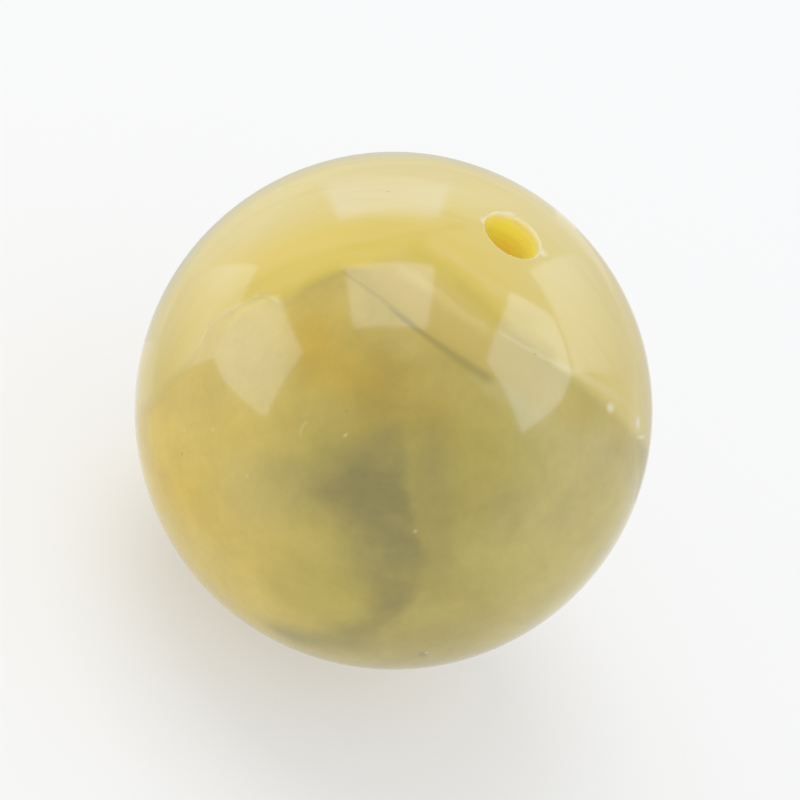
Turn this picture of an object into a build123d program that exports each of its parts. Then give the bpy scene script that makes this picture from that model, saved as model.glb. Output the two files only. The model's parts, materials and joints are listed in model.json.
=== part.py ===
from build123d import *

import os
from math import sqrt

# A large round bead: one ball of cast, marbled resin, polished all over, with one straight hole
# drilled through its centre for a cord or a pin.
#
# Millimetres. The origin is the ball's centre, and +Z runs along the hole. The bead is a single
# casting. Its marbling is pigment that swirled through the resin before it set, so there is
# nothing in it that comes apart, and the whole bead is one solid.

# Driving dimensions
BALL_DIAMETER = 20.0
HOLE_DIAMETER = 2.3
MOUTH_ROUNDING = 0.1  # radius of the edge that polishing leaves round each mouth

ball_radius = BALL_DIAMETER / 2
hole_radius = HOLE_DIAMETER / 2
sharp_mouth_height = sqrt(ball_radius**2 - hole_radius**2)  # where a sharp rim would stand

with BuildPart() as bead_ball:
    Sphere(radius=ball_radius)
    Hole(radius=hole_radius)
    rims = bead_ball.edges().filter_by(
        lambda edge: abs(abs(edge.center().Z) - sharp_mouth_height) < MOUTH_ROUNDING
    )
    fillet(rims, radius=MOUTH_ROUNDING)

bead_ball.part.label = "bead_ball"

os.makedirs("parts", exist_ok=True)
export_step(bead_ball.part, "parts/bead_ball.step")

wall_boxes = [wall.bounding_box() for wall in bead_ball.faces().filter_by(GeomType.CYLINDER)]
wall_length = max(box.max.Z for box in wall_boxes) - min(box.min.Z for box in wall_boxes)
print(f"straight wall of the hole: {wall_length:.3f} mm long")
print(f"resin: {bead_ball.part.volume:.1f} cubic millimetres")
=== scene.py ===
import json
from math import atan2, cos, pi, radians, sin, sqrt

import bmesh
import bpy
from mathutils import Matrix, Vector


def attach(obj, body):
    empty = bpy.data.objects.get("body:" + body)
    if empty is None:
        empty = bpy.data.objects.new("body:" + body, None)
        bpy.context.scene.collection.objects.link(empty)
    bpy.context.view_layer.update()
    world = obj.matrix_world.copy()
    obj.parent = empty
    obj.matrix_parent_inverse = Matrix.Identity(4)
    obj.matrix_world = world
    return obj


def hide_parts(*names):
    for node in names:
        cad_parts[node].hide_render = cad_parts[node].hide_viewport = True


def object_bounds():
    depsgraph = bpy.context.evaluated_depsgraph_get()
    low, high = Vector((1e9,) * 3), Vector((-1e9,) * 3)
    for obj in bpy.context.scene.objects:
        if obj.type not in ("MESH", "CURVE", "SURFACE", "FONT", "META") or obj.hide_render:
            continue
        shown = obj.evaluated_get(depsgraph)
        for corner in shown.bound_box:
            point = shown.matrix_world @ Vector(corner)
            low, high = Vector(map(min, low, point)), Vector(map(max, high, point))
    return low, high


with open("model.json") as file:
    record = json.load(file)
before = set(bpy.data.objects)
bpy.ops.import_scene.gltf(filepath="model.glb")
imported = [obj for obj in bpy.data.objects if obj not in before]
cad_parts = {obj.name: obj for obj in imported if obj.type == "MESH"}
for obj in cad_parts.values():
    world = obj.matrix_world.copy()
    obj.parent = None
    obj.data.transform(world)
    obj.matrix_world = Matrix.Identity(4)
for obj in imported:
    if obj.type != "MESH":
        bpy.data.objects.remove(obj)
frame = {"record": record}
cad_low, cad_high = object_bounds()

# ---------------------------------------------------------------------------------------------
# The bead's sizes, from the frame. Metres. The hole runs along Z and the ball's centre is (0, 0, 0).
# ---------------------------------------------------------------------------------------------
MM = 0.001
bore = next(m for m in frame["record"]["mounts"] if m["name"] == "cord_hole")
HOLE_RADIUS = bore["dims"]["r_mm"] * MM
WALL_HALF = bore["dims"]["length_mm"] * MM / 2  # height of the end of the straight wall
BALL_RADIUS = cad_high.x
RIM_RADIUS = 0.1 * MM  # rounding that polishing leaves round each mouth

# ---------------------------------------------------------------------------------------------
# The camera. Its own axes (right, up, back) also place the lights and the marbling.
# ---------------------------------------------------------------------------------------------
LOOK_DOWN = radians(37.0)  # the camera looks down on the bead by this angle
ROLL = radians(34.2)  # and leans over to its left by this one
CAMERA_DISTANCE = 171.8 * MM
CAMERA_SLIDE = (0.24 * MM, 0.41 * MM)  # to the right and up, so the bead sits low and left of the middle

level_right = Vector((1, 0, 0))
level_up = Vector((0, sin(LOOK_DOWN), cos(LOOK_DOWN)))
camera_back = Vector((0, -cos(LOOK_DOWN), sin(LOOK_DOWN)))
camera_right = cos(ROLL) * level_right + sin(ROLL) * level_up
camera_up = -sin(ROLL) * level_right + cos(ROLL) * level_up
face = Matrix((camera_right, camera_up, camera_back))  # turns the part's frame into (right, up, back)


def from_face(right, up, back):
    """The point that lies that far to the camera's right, up and back from the ball's centre."""
    return face.transposed() @ Vector((right, up, back))


def on_ball(right, up):
    """The point of the unit ball's near side that lies that far right and up."""
    return Vector((right, up, sqrt(max(0, 1 - right**2 - up**2))))


def make_camera():
    data = bpy.data.cameras.new("camera")
    data.lens = 200
    data.sensor_width = 36
    data.clip_start = 0.01
    data.clip_end = 20
    camera = bpy.data.objects.new("camera", data)
    place = from_face(*CAMERA_SLIDE, CAMERA_DISTANCE)
    camera.matrix_world = Matrix.Translation(place) @ face.transposed().to_4x4()
    bpy.context.scene.collection.objects.link(camera)
    bpy.context.scene.camera = camera


# ---------------------------------------------------------------------------------------------
# The bead's mesh
# ---------------------------------------------------------------------------------------------
COLUMNS = 320  # round the hole
BALL_ROWS = 214
RIM_ROWS = 8
BARE_RIM_ROWS = 6  # how many of them are bare drilled resin, next to the wall
WALL_ROWS = 30
ROW_CROWDING = 0.7  # how much closer the ball's rows stand near the mouths than at the equator

# Chips in the surface: each one's spot (right, up), how far it reaches across and up, and how deep it is.
# All but the depths are in ball radii.
CHIPS = (
    ((0.812, 0.013), 0.042, 0.03, 0.04 * MM),
    ((0.925, -0.045), 0.04, 0.035, 0.03 * MM),
    ((0.942, -0.1), 0.08, 0.012, 0.03 * MM),
    ((0.339, 0.712), 0.024, 0.032, 0.05 * MM),
    ((0.43, 0.742), 0.05, 0.022, 0.04 * MM),
    ((0.556, 0.597), 0.034, 0.036, 0.06 * MM),
)


def bead_section():
    """The bead's half section as (distance from the axis, height), going once round."""
    rim_x = HOLE_RADIUS + RIM_RADIUS
    rim_z = sqrt((BALL_RADIUS - RIM_RADIUS) ** 2 - rim_x**2)
    ball_start = atan2(rim_x, rim_z)  # angle from +Z where the rounding meets the ball
    points = []
    for i in range(RIM_ROWS):
        angle = pi - (pi / 2 + ball_start) * i / RIM_ROWS
        points.append((rim_x + RIM_RADIUS * cos(angle), rim_z + RIM_RADIUS * sin(angle)))
    for i in range(BALL_ROWS + 1):
        share = i / BALL_ROWS
        eased = share - ROW_CROWDING * sin(2 * pi * share) / (2 * pi)
        angle = ball_start + (pi - 2 * ball_start) * eased
        points.append((BALL_RADIUS * sin(angle), BALL_RADIUS * cos(angle)))
    for x, z in reversed(points[:RIM_ROWS]):
        points.append((x, -z))
    for i in range(1, WALL_ROWS):
        points.append((HOLE_RADIUS, rim_z * (2 * i / WALL_ROWS - 1)))
    return points


def chip(mesh):
    """Presses the chips' hollows into the surface."""
    for (right, up), across, tall, depth in CHIPS:
        spot = face.transposed() @ on_ball(right, up)
        for vertex in mesh.verts:
            away = face @ (vertex.co / BALL_RADIUS - spot)
            distance = Vector((away.x / across, away.y / tall, away.z / across)).length
            if distance < 1:
                vertex.co -= spot * depth * (1 - distance**2) ** 2


def make_object(name, mesh):
    """Turns the bmesh into an object in the scene."""
    data = bpy.data.meshes.new(name)
    mesh.to_mesh(data)
    mesh.free()
    made = bpy.data.objects.new(name, data)
    bpy.context.scene.collection.objects.link(made)
    return made


def make_bead():
    """The section turned round the hole. Its faces take material 0 outside and 1 where the resin is bare."""
    section = bead_section()
    rows = len(section)
    bare_again = 2 * RIM_ROWS + BALL_ROWS - BARE_RIM_ROWS  # the row where the far mouth's bare resin starts
    mesh = bmesh.new()
    rings = []
    for x, z in section:
        turns = (2 * pi * k / COLUMNS for k in range(COLUMNS))
        rings.append([mesh.verts.new((x * cos(t), x * sin(t), z)) for t in turns])
    for i in range(rows):
        above, below = rings[i], rings[(i + 1) % rows]
        for k in range(COLUMNS):
            n = (k + 1) % COLUMNS
            quad = mesh.faces.new((above[k], below[k], below[n], above[n]))
            quad.smooth = True
            quad.material_index = 1 if i >= bare_again or i < BARE_RIM_ROWS else 0
    chip(mesh)
    return make_object("bead", mesh)


# ---------------------------------------------------------------------------------------------
# Shader nodes, added a few at a time
# ---------------------------------------------------------------------------------------------
class Painter:
    """Adds nodes to one material. add returns the node, and the other methods what comes out of it."""

    def __init__(self, material):
        self.tree = material.node_tree

    def add(self, kind, inputs, settings=None):
        node = self.tree.nodes.new(kind)
        for name, value in (settings or {}).items():
            setattr(node, name, value)
        for key, value in inputs.items():
            if isinstance(value, bpy.types.NodeSocket):
                self.tree.links.new(value, node.inputs[key])
            else:
                node.inputs[key].default_value = value
        return node

    def math(self, operation, *values):
        return self.add("ShaderNodeMath", dict(enumerate(values)), {"operation": operation}).outputs[0]

    def vector(self, operation, *values):
        node = self.add("ShaderNodeVectorMath", dict(enumerate(values)), {"operation": operation})
        return node.outputs["Value" if operation in ("LENGTH", "DOT_PRODUCT") else "Vector"]

    def scaled(self, vector, factor):
        inputs = {0: vector, "Scale": factor}
        return self.add("ShaderNodeVectorMath", inputs, {"operation": "SCALE"}).outputs[0]

    def parts(self, vector):
        """The vector's X, Y and Z."""
        return self.add("ShaderNodeSeparateXYZ", {0: vector}).outputs

    def ease(self, value, start, end, low=0.0, high=1.0):
        """Goes smoothly from low to high while value goes from start to end."""
        inputs = {"Value": value, "From Min": start, "From Max": end, "To Min": low, "To Max": high}
        return self.add("ShaderNodeMapRange", inputs, {"interpolation_type": "SMOOTHSTEP"}).outputs["Result"]

    def mix(self, under, over, amount):
        """Colour over lies on colour under by that amount, 0 to 1."""
        under, over = ((*colour, 1) if isinstance(colour, tuple) else colour for colour in (under, over))
        # this node has sockets for other kinds of value too: its colours are inputs 6 and 7 and output 2
        return self.add("ShaderNodeMix", {0: amount, 6: under, 7: over}, {"data_type": "RGBA"}).outputs[2]

    def noise(self, where, scale, detail=2.0, roughness=0.5, output="Fac"):
        inputs = {"Vector": where, "Scale": scale, "Detail": detail, "Roughness": roughness}
        return self.add("ShaderNodeTexNoise", inputs).outputs[output]

    def local(self, where, origin, axes, reach):
        """Coordinates that are 0 at origin and 1 at reach along each of the three axes."""
        turn = Matrix(axes).transposed().to_euler()
        inputs = {"Vector": where, "Location": origin, "Rotation": turn, "Scale": reach}
        return self.add("ShaderNodeMapping", inputs, {"vector_type": "TEXTURE"}).outputs["Vector"]

    def height_of(self, x, outline):
        """The height of a given outline over x, both from -1 to 1."""
        node = self.add("ShaderNodeFloatCurve", {"Value": x})
        mapping = node.mapping
        mapping.clip_min_x = -1
        mapping.clip_min_y = -1
        curve = mapping.curves[0]
        curve.points[0].location = outline[0]
        curve.points[1].location = outline[-1]
        for point in outline[1:-1]:
            curve.points.new(*point)
        mapping.update()
        return node.outputs["Value"]


# ---------------------------------------------------------------------------------------------
# The marbling. It lies in coordinates of its own: the ball's radius is 1, X runs to the right of the
# swirled side, Y up and Z out of it. In the functions, place is a point in them, and soft is that point
# pushed about by noise, so that what is painted by it has smoky edges. Cycles has room for only so many
# nodes in one material: with about five more patches or strokes the whole ball renders black.
# ---------------------------------------------------------------------------------------------
HONEY = (0.68, 0.515, 0.108)
OLIVE = (0.475, 0.38, 0.08)
KHAKI = (0.56, 0.465, 0.13)
OCHRE = (0.43, 0.31, 0.045)
ORANGE = (0.6, 0.385, 0.035)
AMBER = (0.72, 0.505, 0.06)
TAN = (0.56, 0.42, 0.1)
FAWN = (0.635, 0.49, 0.15)
GOLD = (0.69, 0.525, 0.1)
BRONZE = (0.6, 0.465, 0.065)
BUTTER = (0.8, 0.61, 0.14)
CREAM = (0.7, 0.565, 0.185)
IVORY = (0.74, 0.64, 0.33)
MOSS = (0.5, 0.405, 0.075)
PEWTER = (0.56, 0.475, 0.185)
SMOKE = (0.365, 0.305, 0.08)
SAGE = (0.455, 0.378, 0.103)
# pale of chipped resin, also used for painted glints and for the painted light on the mouths' rims
CHIP_PALE_AND_GLINT = (0.8, 0.72, 0.45)
SLATE = (0.25, 0.214, 0.07)
UMBER = (0.34, 0.27, 0.07)
BARE_GOLD = (0.98, 0.82, 0.25)  # the drilled wall, deep in the hole
BARE_CREAM = (0.8, 0.67, 0.37)  # and next to the mouths
RESIN_IOR = 1.55


def stirred(paint, where, scale, amount):
    """The same coordinates, pushed about by noise."""
    push = paint.vector("SUBTRACT", paint.noise(where, scale, output="Color"), (0.5, 0.5, 0.5))
    return paint.vector("ADD", where, paint.scaled(push, amount))


def patch(paint, where, spot, across, tall, turn=0.0, core=0.0):
    """An oval patch on the ball: 1 in its core, easing to 0 at its edge."""
    outwards = on_ball(*spot)
    sideways = Vector((cos(turn), sin(turn), 0))
    sideways = (sideways - outwards * sideways.dot(outwards)).normalized()
    axes = (sideways, outwards.cross(sideways), outwards)
    local = paint.local(where, outwards, axes, (across, tall, max(across, tall)))
    return paint.ease(paint.vector("LENGTH", local), 1, core)


def stroke(paint, where, start, middle, end, above, below, core=0.0, growth=0.0, fade=0.4):
    """A brush stroke on the ball through three points, so wide above and below its line.

    It goes from thin to thick as growth goes from 0 to 1, and fades out over that share of its ends.
    """
    start, middle, end = (on_ball(*spot) for spot in (start, middle, end))
    centre = (start + end) / 2
    reach = (end - start).length / 2
    along = (end - start).normalized()
    outwards = centre.normalized()
    upwards = outwards.cross(along)
    bend_x = (middle - centre).dot(along) / reach
    bow = (middle - centre).dot(upwards) / reach / (1 - bend_x**2)
    local = paint.local(where, centre, (along, upwards, outwards), (reach, reach, reach))
    parts = paint.parts(local)
    squared = paint.math("MULTIPLY", parts[0], parts[0])
    offset = paint.math("SUBTRACT", paint.math("MULTIPLY_ADD", squared, bow, parts[1]), bow)
    over = paint.math("MULTIPLY", offset, reach / above)
    under = paint.math("MULTIPLY", offset, -reach / below)
    cross = paint.math("MAXIMUM", over, under)
    if growth:
        thickness = paint.math("MULTIPLY_ADD", parts[0], growth / 2, 1 - growth / 2)
        cross = paint.math("DIVIDE", cross, thickness)
    body = paint.ease(cross, 1, core)
    ends = paint.ease(squared, 1, 1 - fade)
    near = paint.math("GREATER_THAN", parts[2], -centre.length / reach)
    return paint.math("MULTIPLY", paint.math("MULTIPLY", body, ends), near)


def lay(paint, colour, over, mask, strength):
    """Colour over lies on the colour where the mask is 1, by that strength."""
    return paint.mix(colour, over, paint.math("MULTIPLY", mask, strength))


def lay_patches(paint, where, colour, patches):
    for over, strength, shape in patches:
        colour = lay(paint, colour, over, patch(paint, where, **shape), strength)
    return colour


def lay_strokes(paint, where, colour, strokes):
    for over, strength, line, shape in strokes:
        colour = lay(paint, colour, over, stroke(paint, where, *line, **shape), strength)
    return colour


def swept(paint, place):
    """The coordinates with their far side swept about, so the marbling isn't the same front and back."""
    depth = paint.parts(place)[2]
    return stirred(paint, place, 1.2, paint.ease(depth, 0.1, -0.7, 0, 1.3))


def paint_body(paint, soft):
    """Honey on the left, olive in the middle and khaki on the right, with warm patches high in the middle."""
    x = paint.parts(soft)[0]
    colour = paint.mix(HONEY, OLIVE, paint.ease(x, -0.85, 0.1))
    colour = paint.mix(colour, KHAKI, paint.ease(x, 0.15, 0.65))
    return lay_patches(paint, soft, colour, (
        (PEWTER, 0.8, dict(spot=(0.76, -0.12), across=0.5, tall=0.3)),
        (OCHRE, 0.9, dict(spot=(0.01, 0.06), across=0.44, tall=0.34, core=0.05)),
        (OCHRE, 0.4, dict(spot=(-0.02, 0.26), across=0.3, tall=0.24)),
        (TAN, 0.8, dict(spot=(-0.2, 0.42), across=0.28, tall=0.18)),
        (ORANGE, 0.55, dict(spot=(-0.3, 0.24), across=0.24, tall=0.27)),
        (ORANGE, 0.5, dict(spot=(-0.31, 0.25), across=0.11, tall=0.14)),
        (ORANGE, 0.35, dict(spot=(-0.17, 0.13), across=0.22, tall=0.16)),
        (FAWN, 0.85, dict(spot=(-0.54, 0.2), across=0.28, tall=0.3)),
        (AMBER, 0.8, dict(spot=(-0.9, -0.05), across=0.3, tall=0.5)),
        (AMBER, 0.85, dict(spot=(-0.82, -0.3), across=0.4, tall=0.3)),
        (ORANGE, 0.3, dict(spot=(-0.86, -0.26), across=0.16, tall=0.12, turn=-0.5)),
        (TAN, 0.5, dict(spot=(-0.76, 0.07), across=0.4, tall=0.14)),
        (FAWN, 0.35, dict(spot=(-0.52, -0.36), across=0.3, tall=0.2)),
        (HONEY, 0.9, dict(spot=(-0.6, -0.6), across=0.45, tall=0.3)),
        (HONEY, 0.7, dict(spot=(-0.58, -0.08), across=0.25, tall=0.18)),
        (OLIVE, 0.75, dict(spot=(-0.27, -0.07), across=0.22, tall=0.2)),
        (SAGE, 0.35, dict(spot=(0.2, 0.12), across=0.26, tall=0.14, turn=-0.6)),
        (MOSS, 0.7, dict(spot=(0.3, -0.14), across=0.2, tall=0.2)),
        (KHAKI, 0.7, dict(spot=(0.37, -0.5), across=0.32, tall=0.25)),
        (PEWTER, 0.6, dict(spot=(0.62, -0.38), across=0.34, tall=0.22)),
        (PEWTER, 0.4, dict(spot=(0.44, -0.34), across=0.16, tall=0.14)),
        (TAN, 0.5, dict(spot=(0.72, 0), across=0.2, tall=0.12)),
        (FAWN, 0.65, dict(spot=(0.84, -0.08), across=0.2, tall=0.09, turn=-0.7)),
        (HONEY, 0.3, dict(spot=(0.14, 0.08), across=0.2, tall=0.15)),
        (FAWN, 0.4, dict(spot=(0.05, 0.27), across=0.2, tall=0.1, turn=-0.4)),
        (CREAM, 0.45, dict(spot=(-0.5, -0.28), across=0.24, tall=0.2)),
        (OCHRE, 0.3, dict(spot=(0.17, -0.15), across=0.12, tall=0.12)),
        (SAGE, 0.8, dict(spot=(0.1, -0.88), across=0.5, tall=0.4)),
        (SMOKE, 0.55, dict(spot=(0.05, -0.99), across=0.9, tall=0.22)),
    ))


def paint_smoke(paint, soft, colour):
    """The dark cloud below the middle, with its arm to the left and its tail round the bottom."""
    puffs = paint.noise(soft, 5.5, 5, 0.6)
    clear = colour
    colour = lay_patches(paint, soft, colour, (
        (SMOKE, 0.8, dict(spot=(0.03, -0.38), across=0.4, tall=0.56)),
        (SMOKE, 0.35, dict(spot=(0.4, -0.32), across=0.16, tall=0.14)),
        (SMOKE, 0.35, dict(spot=(0.46, -0.42), across=0.08, tall=0.12)),
        (SMOKE, 0.7, dict(spot=(-0.11, -0.55), across=0.2, tall=0.24)),
        (SMOKE, 0.6, dict(spot=(-0.34, -0.3), across=0.3, tall=0.24)),
        (MOSS, 0.6, dict(spot=(-0.29, -0.68), across=0.3, tall=0.24, core=0.3)),
        (SLATE, 0.7, dict(spot=(-0.08, -0.3), across=0.28, tall=0.26)),
        (SLATE, 0.42, dict(spot=(-0.01, -0.49), across=0.22, tall=0.3)),
        (SLATE, 0.35, dict(spot=(-0.16, -0.15), across=0.19, tall=0.13)),
        (SMOKE, 0.6, dict(spot=(0.1, -0.22), across=0.24, tall=0.16)),
        (SMOKE, 0.3, dict(spot=(0.46, -0.13), across=0.28, tall=0.14)),
        (SLATE, 0.75, dict(spot=(-0.1, -0.26), across=0.17, tall=0.15)),
        (SLATE, 0.32, dict(spot=(-0.04, -0.37), across=0.16, tall=0.12)),
        (SLATE, 0.45, dict(spot=(-0.2, -0.3), across=0.15, tall=0.11)),
        (SLATE, 0.3, dict(spot=(-0.32, -0.25), across=0.26, tall=0.12, turn=-0.1)),
    ))
    colour = lay_strokes(paint, soft, colour, (
        (SLATE, 0.4, ((0.0, -0.02), (0.02, -0.28), (0.03, -0.52)), dict(above=0.08, below=0.15)),
        (OLIVE, 0.35, ((0.08, -0.06), (0.09, -0.3), (0.13, -0.55)), dict(above=0.06, below=0.04)),
        (SMOKE, 0.5, ((0.13, -0.05), (0.18, -0.35), (0.12, -0.76)), dict(above=0.08, below=0.1)),
        (SLATE, 0.42, ((0.0, -0.36), (0.045, -0.54), (-0.01, -0.76)), dict(above=0.11, below=0.2)),
        (SLATE, 0.45, ((0.04, -0.6), (-0.05, -0.77), (-0.22, -0.85)), dict(above=0.1, below=0.14, fade=0.6)),
        (SMOKE, 0.95, ((-0.02, -0.83), (-0.27, -0.875), (-0.52, -0.79)),
         dict(above=0.18, below=0.13, fade=0.8)),
        (SMOKE, 0.3, ((0.78, -0.08), (0.88, -0.2), (0.93, -0.32)), dict(above=0.09, below=0.07, fade=0.7)),
    ))
    return paint.mix(clear, colour, paint.ease(puffs, 0.25, 0.65, 0.78, 1.03))


# The pale top layer, drawn as heights over the width of the swirled side: where its full colour starts,
# where the thinner tan shoulder under it starts, and how gently that full colour sets in. The first two
# are one line as far as the peak.
UP_TO_PEAK = (
    (-1, -0.06), (-0.9, 0.01), (-0.83, 0.09), (-0.76, 0.16), (-0.71, 0.25), (-0.67, 0.335), (-0.55, 0.4),
    (-0.48, 0.425), (-0.41, 0.39), (-0.31, 0.45), (-0.17, 0.515),
)
CAP_OUTLINE = UP_TO_PEAK + (
    (-0.05, 0.5), (0.1, 0.49), (0.24, 0.4), (0.36, 0.305), (0.52, 0.215), (0.66, 0.1), (0.74, 0.034),
    (0.79, -0.005), (0.83, -0.045), (0.885, -0.105), (0.93, -0.14), (1, -0.22),
)
SHOULDER_OUTLINE = UP_TO_PEAK + (
    (-0.04, 0.415), (0.06, 0.32), (0.18, 0.235), (0.35, 0.115), (0.54, 0), (0.75, -0.12), (1, -0.3),
)
CAP_SOFTNESS = (
    (-1, 0.08), (-0.78, 0.06), (-0.7, 0.02), (-0.45, 0.02), (-0.36, 0.05), (-0.26, 0.04), (-0.15, 0.02),
    (0, 0.12), (0.25, 0.12), (0.42, 0.05), (0.62, 0.05), (0.78, 0.07), (1, 0.07),
)
LAYER_AXIS = Vector((-0.05, -0.35, 0.94)).normalized()  # the top layer's streaks run round this axis


def paint_cap(paint, place, soft, colour):
    """The pale layer over the top: gold streaks next to its edge, and cream above them."""
    x, y, _ = paint.parts(place)
    wobble = paint.math("MULTIPLY_ADD", paint.noise(place, 14, 3), 0.024, -0.012)
    height = paint.math("ADD", y, wobble)

    above_shoulder = paint.math("SUBTRACT", height, paint.height_of(x, SHOULDER_OUTLINE))
    shoulder = paint.mix(TAN, FAWN, paint.ease(above_shoulder, 0.02, 0.3, 0, 0.8))
    amount = paint.math("MULTIPLY", paint.ease(above_shoulder, -0.03, 0.07), paint.ease(x, 0.8, 0.3))
    colour = lay(paint, colour, shoulder, amount, 0.9)

    above_cap = paint.math("SUBTRACT", height, paint.height_of(x, CAP_OUTLINE))
    rise = paint.math("DIVIDE", above_cap, paint.height_of(x, CAP_SOFTNESS))
    khaki_step = paint.math("MULTIPLY", paint.ease(above_cap, -0.13, 0.0), paint.ease(x, 0.3, 0.45))
    colour = lay(paint, colour, OLIVE, khaki_step, 0.4)

    side = Vector((1, 0, 0)).cross(LAYER_AXIS).normalized()
    axes = (side.cross(LAYER_AXIS), side, LAYER_AXIS)
    layered = paint.local(place, (0, 0, 0), axes, (0.65, 0.65, 0.09))
    streaks = paint.noise(layered, 1, 3, 0.5)
    depth = paint.vector("DOT_PRODUCT", place, tuple(LAYER_AXIS))
    level = paint.math("MULTIPLY_ADD", streaks, 0.3, paint.math("SUBTRACT", depth, 0.15))
    golden = paint.math("MULTIPLY", paint.ease(level, 0.22, 0.56), paint.ease(x, 0.7, 0.05, 0.25, 1.0))
    cap = paint.mix(CREAM, GOLD, golden)
    cap = paint.mix(cap, IVORY, paint.ease(streaks, 0.5, 0.8, 0.0, 0.12))
    threads = paint.noise(paint.local(soft, (0, 0, 0), axes, (0.45, 0.45, 0.05)), 1, 4, 0.5)
    cap = paint.mix(cap, BRONZE, paint.ease(threads, 0.52, 0.3, 0, 0.2))
    cap = paint.mix(cap, IVORY, paint.ease(threads, 0.5, 0.75, 0, 0.1))
    cap = lay_patches(paint, place, cap, (
        (IVORY, 0.35, dict(spot=(-0.48, 0.7), across=0.5, tall=0.3, turn=0.6)),
        (BUTTER, 0.4, dict(spot=(-0.44, 0.59), across=0.45, tall=0.18)),
        (BUTTER, 0.3, dict(spot=(-0.72, 0.45), across=0.3, tall=0.3)),
        (IVORY, 0.4, dict(spot=(0.32, 0.8), across=0.34, tall=0.22)),
        (IVORY, 0.2, dict(spot=(0.64, 0.6), across=0.35, tall=0.4)),
        (KHAKI, 0.3, dict(spot=(0, 0.95), across=0.7, tall=0.2)),
        (KHAKI, 0.3, dict(spot=(0.49, 0.34), across=0.16, tall=0.1)),
    ))
    return paint.mix(colour, cap, paint.ease(rise, 0, 1))


def paint_lines(paint, place, soft, colour):
    """The thin streaks along the edges of the layers."""
    colour = lay_strokes(paint, soft, colour, (
        # bronze and pale streaks over the top right
        (BRONZE, 0.75, ((0.04, 0.63), (0.25, 0.448), (0.45, 0.265)), dict(above=0.08, below=0.08, fade=0.6)),
        (OLIVE, 0.25, ((0.2, 0.475), (0.31, 0.385), (0.42, 0.29)), dict(above=0.04, below=0.035)),
        (CREAM, 0.5, ((0, 0.56), (0.18, 0.415), (0.39, 0.262)), dict(above=0.025, below=0.045, fade=0.7)),
        (CREAM, 0.45, ((0.1, 0.65), (0.3, 0.505), (0.48, 0.36)), dict(above=0.06, below=0.04, fade=0.7)),
        # beside the pale layer's edge, left of its peak
        (BRONZE, 0.45, ((-0.46, 0.4), (-0.32, 0.475), (-0.18, 0.54)), dict(above=0.05, below=0.04)),
        # a dull smear past the end of the dark streak
        (PEWTER, 0.4, ((0.26, 0.17), (0.42, 0.05), (0.62, -0.08)), dict(above=0.08, below=0.1, growth=0.5)),
    ))
    return lay_strokes(paint, place, colour, (
        (OLIVE, 0.15, ((-0.43, 0.4), (-0.31, 0.465), (-0.14, 0.535)), dict(above=0.03, below=0.03)),
        (UMBER, 0.1, ((-0.36, 0.425), (-0.24, 0.485), (-0.12, 0.52)), dict(above=0.016, below=0.03)),
        # the dark streak that runs down to the right from the peak
        (UMBER, 0.4, ((-0.2, 0.52), (-0.06, 0.425), (0.1, 0.29)), dict(above=0.018, below=0.03, growth=0.6)),
        (UMBER, 0.75, ((-0.03, 0.392), (0.17, 0.239), (0.38, 0.1)),
         dict(above=0.036, below=0.042, growth=0.75)),
        # the white hairline on the left, its paleness a painted glint along a fine ridge, and the gold one
        # under it
        (GOLD, 0.7, ((-0.6, 0.345), (-0.53, 0.385), (-0.46, 0.41)), dict(above=0.02, below=0.022)),
        (IVORY, 0.24, ((-0.72, 0.21), (-0.7, 0.29), (-0.64, 0.355)),
         dict(above=0.012, below=0.012, fade=0.3)),
        (IVORY, 0.33, ((-0.65, 0.35), (-0.57, 0.394), (-0.49, 0.428)),
         dict(above=0.012, below=0.01, fade=0.3)),
        (IVORY, 0.35, ((-0.52, 0.424), (-0.46, 0.422), (-0.42, 0.396)),
         dict(above=0.012, below=0.01, fade=0.3)),
        # the pale line on the right
        (UMBER, 0.25, ((0.36, 0.33), (0.48, 0.265), (0.62, 0.185)), dict(above=0.06, below=0.03, fade=0.7)),
        (IVORY, 0.24, ((0.37, 0.3), (0.5, 0.225), (0.67, 0.142)), dict(above=0.018, below=0.012)),
        (IVORY, 0.4, ((0.57, 0.185), (0.72, 0.122), (0.86, 0.03)), dict(above=0.028, below=0.03, fade=0.5)),
        (IVORY, 0.14, ((0.84, 0.05), (0.9, -0.005), (0.93, -0.06)), dict(above=0.025, below=0.02, fade=0.6)),
        # a thin streak above the peak, which runs up to the hole
        (BRONZE, 0.2, ((-0.2, 0.6), (0.06, 0.65), (0.3, 0.7)), dict(above=0.025, below=0.035)),
    ))


def paint_far_side(paint, place, soft, colour):
    """Smoke and amber in big swirls over the far side."""
    depth = paint.parts(place)[2]
    swirls = paint.noise(soft, 1.7, 4, 0.5, output="Color")
    red, green, _ = paint.add("ShaderNodeSeparateColor", {0: swirls}).outputs
    smoke = paint.math("MULTIPLY", paint.ease(red, 0.5, 0.66), paint.ease(depth, -0.05, -0.4))
    amber = paint.math("MULTIPLY", paint.ease(green, 0.5, 0.62), paint.ease(depth, -0.05, -0.4))
    return lay(paint, lay(paint, colour, AMBER, amber, 0.8), SMOKE, smoke, 0.85)


def mottle(paint, place, colour):
    """Slight unevenness all over: soft blotches, and fine grain on them."""
    blotches = paint.noise(stirred(paint, place, 3, 0.2), 4.5, 4, 0.6)
    grain = paint.noise(place, 24, 4, 0.65)
    broad = paint.ease(blotches, 0.3, 0.7, 0.94, 1.05)
    fine = paint.ease(grain, 0.3, 0.7, -0.02, 0.02)
    tone = paint.math("ADD", broad, fine)
    colour = paint.mix(colour, KHAKI, paint.ease(blotches, 0.55, 0.75, 0, 0.12))
    return paint.scaled(colour, tone)


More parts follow.
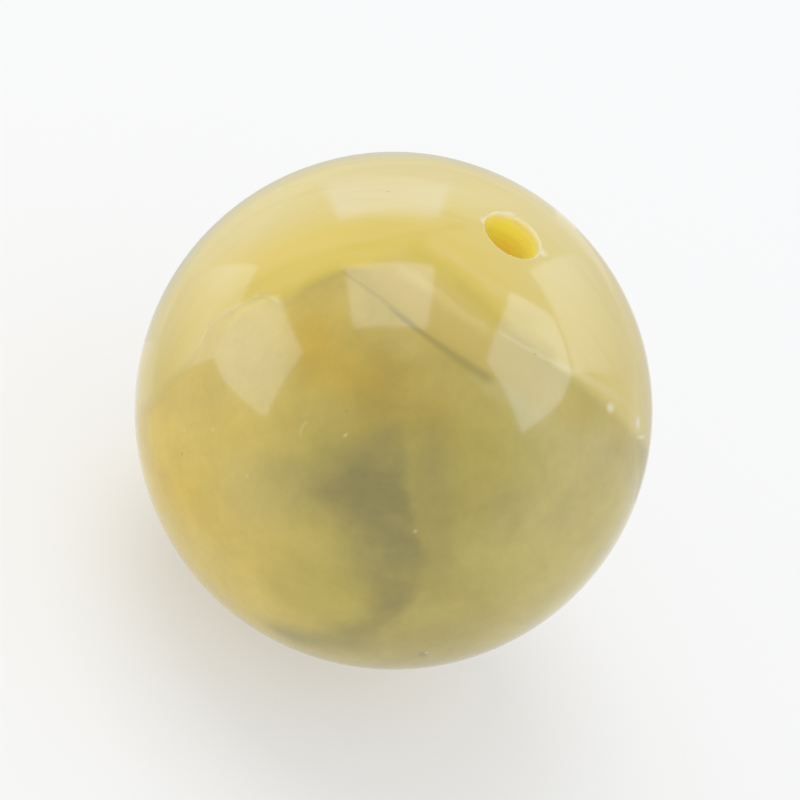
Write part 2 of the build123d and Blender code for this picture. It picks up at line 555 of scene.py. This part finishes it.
def paint_specks(paint, place, colour):
    """Dust that was caught in the resin, and the chips, a pit and a fibre. The chips' pale paint is partly
    their whitened resin and partly painted glints on their edges, and beside the pit is a painted glint.
    """
    dark = ((-0.02, 0.82), (0.52, 0.21), (-0.17, 0.0), (-0.79, -0.16))
    pale = ((-0.67, -0.07), (-0.54, -0.24), (0.08, -0.44), (-0.78, -0.07))
    for spot in dark:
        colour = lay(paint, colour, UMBER, patch(paint, place, spot, 0.012, 0.009), 0.5)
    for spot in pale:
        colour = lay(paint, colour, IVORY, patch(paint, place, spot, 0.012, 0.012), 0.5)
    # the chips' pale paint: partly the whitened resin of a chip, partly painted glints where its edges catch
    # the light
    for (right, up), across, tall, _ in CHIPS:
        level = atan2(right * up, 1 - up**2)  # the turn that keeps the oval level, as its hollow is
        colour = lay(paint, colour, CHIP_PALE_AND_GLINT, patch(paint, place, (right, up), across, tall, level), 1.0)
    colour = lay_patches(paint, place, colour, (
        # a pit near the bottom, with a painted glint beside it
        (UMBER, 0.9, dict(spot=(0.108, -0.922), across=0.026, tall=0.045, core=0.2)),
        (CHIP_PALE_AND_GLINT, 0.6, dict(spot=(0.124, -0.914), across=0.01, tall=0.014)),
        # a longer speck near the middle
        (IVORY, 0.6, dict(spot=(-0.175, -0.087), across=0.016, tall=0.009, turn=0.6)),
    ))
    return lay_strokes(paint, place, colour, (
        # the fibre
        (IVORY, 0.25, ((-0.31, -0.035), (-0.336, -0.062), (-0.338, -0.1)), dict(above=0.009, below=0.009)),
    ))


def new_material(name):
    """A new material and its Principled shader."""
    material = bpy.data.materials.new(name)
    material.use_nodes = True
    return material, material.node_tree.nodes["Principled BSDF"]


def make_resin():
    """The polished outside of the bead."""
    material, shader = new_material("swirled_resin")
    paint = Painter(material)
    on_object = paint.add("ShaderNodeTexCoord", {}).outputs["Object"]
    per_radius = (1 / BALL_RADIUS,) * 3
    turned = {"Vector": on_object, "Rotation": face.to_euler(), "Scale": per_radius}
    place = swept(paint, paint.add("ShaderNodeMapping", turned).outputs["Vector"])
    soft = stirred(paint, stirred(paint, place, 3.5, 0.09), 13, 0.035)
    colour = paint_body(paint, soft)
    colour = paint_smoke(paint, soft, colour)
    colour = paint_far_side(paint, place, soft, colour)
    colour = mottle(paint, place, colour)
    colour = paint_cap(paint, place, soft, colour)
    colour = paint_lines(paint, place, soft, colour)
    colour = paint_specks(paint, place, colour)
    # painted light: the rounding round each mouth is painted pale, so it doesn't go dark in the shade where
    # it turns into the hole
    from_axis = paint.vector("LENGTH", paint.vector("MULTIPLY", on_object, (1, 1, 0)))
    mouth = paint.ease(from_axis, HOLE_RADIUS + RIM_RADIUS, HOLE_RADIUS)
    colour = lay(paint, colour, CHIP_PALE_AND_GLINT, mouth, 0.7)
    paint.tree.links.new(colour, shader.inputs["Base Color"])
    shader.inputs["Roughness"].default_value = 0.1
    shader.inputs["IOR"].default_value = RESIN_IOR
    return material


def make_drilled_resin():
    """The wall of the hole: bare resin, which lets through the light that falls on the rest of the bead."""
    material, shader = new_material("drilled_resin")
    paint = Painter(material)
    on_object = paint.add("ShaderNodeTexCoord", {}).outputs["Object"]
    height = paint.math("ABSOLUTE", paint.parts(on_object)[2])
    colour = paint.mix(BARE_GOLD, BARE_CREAM, paint.ease(height, WALL_HALF - 0.4 * MM, WALL_HALF))
    drill_marks = paint.noise(paint.vector("MULTIPLY", on_object, (200, 200, 4000)), 1, 3)
    colour = paint.scaled(colour, paint.ease(drill_marks, 0.3, 0.7, 0.96, 1.02))
    paint.tree.links.new(colour, shader.inputs["Base Color"])
    shader.inputs["Roughness"].default_value = 0.35
    shader.inputs["IOR"].default_value = RESIN_IOR
    shader.inputs["Subsurface Weight"].default_value = 1
    shader.inputs["Subsurface Radius"].default_value = (6.5, 3.9, 1.2)
    shader.inputs["Subsurface Scale"].default_value = 1 * MM
    return material


# ---------------------------------------------------------------------------------------------
# The studio: a pale floor, soft light, and cards that only the gloss shows
# ---------------------------------------------------------------------------------------------
FLOOR_RADIUS = 1.2
FLOOR_GREY = 0.5
FLOOR_GLOW = 0.42  # how strongly the floor gives light of its own
SURROUNDINGS = (0.8, 0.81, 0.83)  # the plain light from all round


def glow_material(name, light):
    material = bpy.data.materials.new(name)
    material.use_nodes = True
    nodes = material.node_tree.nodes
    nodes.clear()
    glow = nodes.new("ShaderNodeEmission")
    glow.inputs["Color"].default_value = (*light, 1)
    out = nodes.new("ShaderNodeOutputMaterial")
    material.node_tree.links.new(glow.outputs["Emission"], out.inputs["Surface"])
    return material


def make_floor():
    """A round floor that glows faintly, as a light table does, so the bead's underside stays bright."""
    mesh = bmesh.new()
    bmesh.ops.create_circle(mesh, cap_ends=True, segments=96, radius=FLOOR_RADIUS)
    floor = make_object("floor", mesh)
    floor.location = (0, 0, cad_low.z)
    material, shader = new_material("pale_floor")
    shader.inputs["Base Color"].default_value = (FLOOR_GREY, FLOOR_GREY, FLOOR_GREY, 1)
    shader.inputs["Roughness"].default_value = 0.9
    shader.inputs["Specular IOR Level"].default_value = 0
    shader.inputs["Emission Color"].default_value = (1, 1, 1, 1)
    shader.inputs["Emission Strength"].default_value = FLOOR_GLOW
    floor.data.materials.append(material)


# Each card: the light it gives (linear red, green, blue), and its corners in millimetres to the right of
# the bead, above it and towards the camera, as the camera sees them.
CARDS = {
    "left_card": dict(
        light=(2.3, 2.6, 3.0),
        corners=[(-45, 46, 23), (-41, 26, 50), (-55, -3, 41), (-55, 10, 15), (-50, 15, 7), (-43, 30, 8)],
    ),
    "middle_card": dict(
        light=(2.5, 2.7, 3.2),
        corners=[(-90, 270, 115), (-5, 285, 120), (78, 275, 115), (73, 178, 243), (-85, 175, 235)],
    ),
    "right_card": dict(
        light=(2.35, 2.75, 3.45),
        corners=[
            (210, 215, 70), (265, 155, 15), (300, 60, 25), (300, 15, 70), (255, -45, 165), (195, 105, 215),
            (205, 160, 165),
        ],
    ),
}

# Each fading card is a strip with one light at its first edge and another at its last: those two lights,
# the shares of its width between which the light changes, the share of its width over which the first
# edge is soft, the share of its length over which its sides are, and the strip's rows from edge to edge.
FADING_CARDS = {
    "overhead_card": dict(
        first_light=(1.45, 2.1, 3.5),
        last_light=(0.8, 0.85, 1.05),
        change=(0.1, 0.9),
        soft_edge=0.25,
        soft_sides=0.1,
        rows=[
            ((-90, 290, 0), (-70, 175, -240)),
            ((-10, 305, 0), (-5, 200, -230)),
            ((75, 295, 0), (65, 200, -215)),
        ],
    ),
    "left_rear_card": dict(
        first_light=(1.6, 1.9, 2.4),
        last_light=(0.7, 0.7, 0.75),
        change=(0.5, 1.05),
        soft_edge=0,
        soft_sides=0,
        rows=[
            ((-52, 56, -2), (-21, 13, -14)),
            ((-55, 38, 8), (-18, 8, -8)),
            ((-53, 16, 8), (-16, 1, -2.5)),
        ],
    ),
    "right_rear_card": dict(
        first_light=(1.9, 2.15, 2.65),
        last_light=(0.7, 0.74, 0.82),
        change=(0, 0.85),
        soft_edge=0.05,
        soft_sides=0,
        rows=[
            ((212, 221, -13), (125, 85, -262)),
            ((272, 141, 15), (170, 80, -240)),
            ((300, 64, 17), (185, 20, -175)),
        ],
    ),
    "upper_shade": dict(
        first_light=(0.72, 0.79, 0.86),
        last_light=(0.58, 0.64, 0.74),
        change=(0, 0.8),
        soft_edge=0.2,
        soft_sides=0.2,
        rows=[
            ((-14, 4, -3), (-11, 3, -6)),
            ((-15, 9, -8), (-11, 6, -12)),
            ((-11, 13, -8), (-8, 10, -12)),
            ((-6, 16, -8), (-4, 12, -12)),
            ((0, 17, -8), (0, 12, -13)),
            ((6, 16, -8), (4, 12, -12)),
            ((11, 13, -8), (8, 10, -12)),
        ],
    ),
    "right_shade": dict(
        first_light=SURROUNDINGS,
        last_light=(0.7, 0.71, 0.74),
        change=(0, 0.4),
        soft_edge=0,
        soft_sides=0,
        rows=[
            ((12, 12, -19), (11, 11, -21)),
            ((20, 10, -14), (14, 7, -21)),
            ((24, 4, -12), (16, 3, -22)),
            ((22, -4, -13), (16, -3, -22)),
            ((16, -6, -19), (15, -6, -21)),
        ],
    ),
}
STRIP_STEPS = 24  # faces across a fading card


def make_card(name, mesh, material):
    """A card that only the gloss sees."""
    card = make_object(name, mesh)
    card.data.materials.append(material)
    for kind in ("camera", "diffuse", "transmission", "volume_scatter", "shadow"):
        setattr(card, "visible_" + kind, False)


def make_plain_card(name, light, corners):
    mesh = bmesh.new()
    mesh.faces.new([mesh.verts.new(from_face(*corner) * MM) for corner in corners])
    make_card(name, mesh, glow_material(name, light))


def make_fading_card(name, first_light, last_light, change, soft_edge, soft_sides, rows):
    mesh = bmesh.new()
    across_layer = mesh.verts.layers.float.new("across")
    along_layer = mesh.verts.layers.float.new("along")
    lines = []
    for k, (first, last) in enumerate(rows):
        first, last = from_face(*first) * MM, from_face(*last) * MM
        line = []
        for i in range(STRIP_STEPS + 1):
            vertex = mesh.verts.new(first.lerp(last, i / STRIP_STEPS))
            vertex[across_layer] = i / STRIP_STEPS
            vertex[along_layer] = k / (len(rows) - 1)
            line.append(vertex)
        lines.append(line)
    for above, below in zip(lines, lines[1:]):
        for i in range(STRIP_STEPS):
            mesh.faces.new((above[i], below[i], below[i + 1], above[i + 1]))
    material = glow_material(name, first_light)
    paint = Painter(material)
    across = paint.add("ShaderNodeAttribute", {}, {"attribute_name": "across"}).outputs["Fac"]
    along = paint.add("ShaderNodeAttribute", {}, {"attribute_name": "along"}).outputs["Fac"]
    light = paint.mix(first_light, last_light, paint.ease(across, *change))
    if soft_edge:
        light = paint.mix(SURROUNDINGS, light, paint.ease(across, 0, soft_edge))
    if soft_sides:
        light = paint.mix(SURROUNDINGS, light, paint.ease(along, 0, soft_sides))
        light = paint.mix(SURROUNDINGS, light, paint.ease(along, 1, 1 - soft_sides))
    paint.tree.links.new(light, material.node_tree.nodes["Emission"].inputs["Color"])
    make_card(name, mesh, material)


def make_softbox(name, direction, distance, size, brightness):
    """A square area light that shines on the bead from a direction (right, up, back), unseen in its gloss."""
    data = bpy.data.lights.new(name, "AREA")
    data.shape = "SQUARE"
    data.size = size
    data.energy = brightness * pi * size**2
    lamp = bpy.data.objects.new(name, data)
    towards = from_face(*direction).normalized()
    lamp.location = towards * distance
    lamp.rotation_mode = "QUATERNION"
    lamp.rotation_quaternion = towards.to_track_quat("Z", "Y")
    lamp.visible_glossy = False
    lamp.visible_camera = False
    bpy.context.scene.collection.objects.link(lamp)


def make_world():
    world = bpy.data.worlds.new("surroundings")
    world.use_nodes = True
    sky = world.node_tree.nodes["Background"]
    sky.inputs["Color"].default_value = (*SURROUNDINGS, 1)
    sky.inputs["Strength"].default_value = 1
    bpy.context.scene.world = world


make_camera()
bead = make_bead()
bead.data.materials.append(make_resin())
bead.data.materials.append(make_drilled_resin())
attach(bead, "root")
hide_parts("bead_ball")

make_world()
make_floor()
for card_name, card in CARDS.items():
    make_plain_card(card_name, **card)
for card_name, card in FADING_CARDS.items():
    make_fading_card(card_name, **card)
make_softbox("soft_light_above", direction=(0.1, 1, 0.35), distance=0.5, size=0.35, brightness=2.2)

bpy.context.scene.view_settings.view_transform = "Standard"
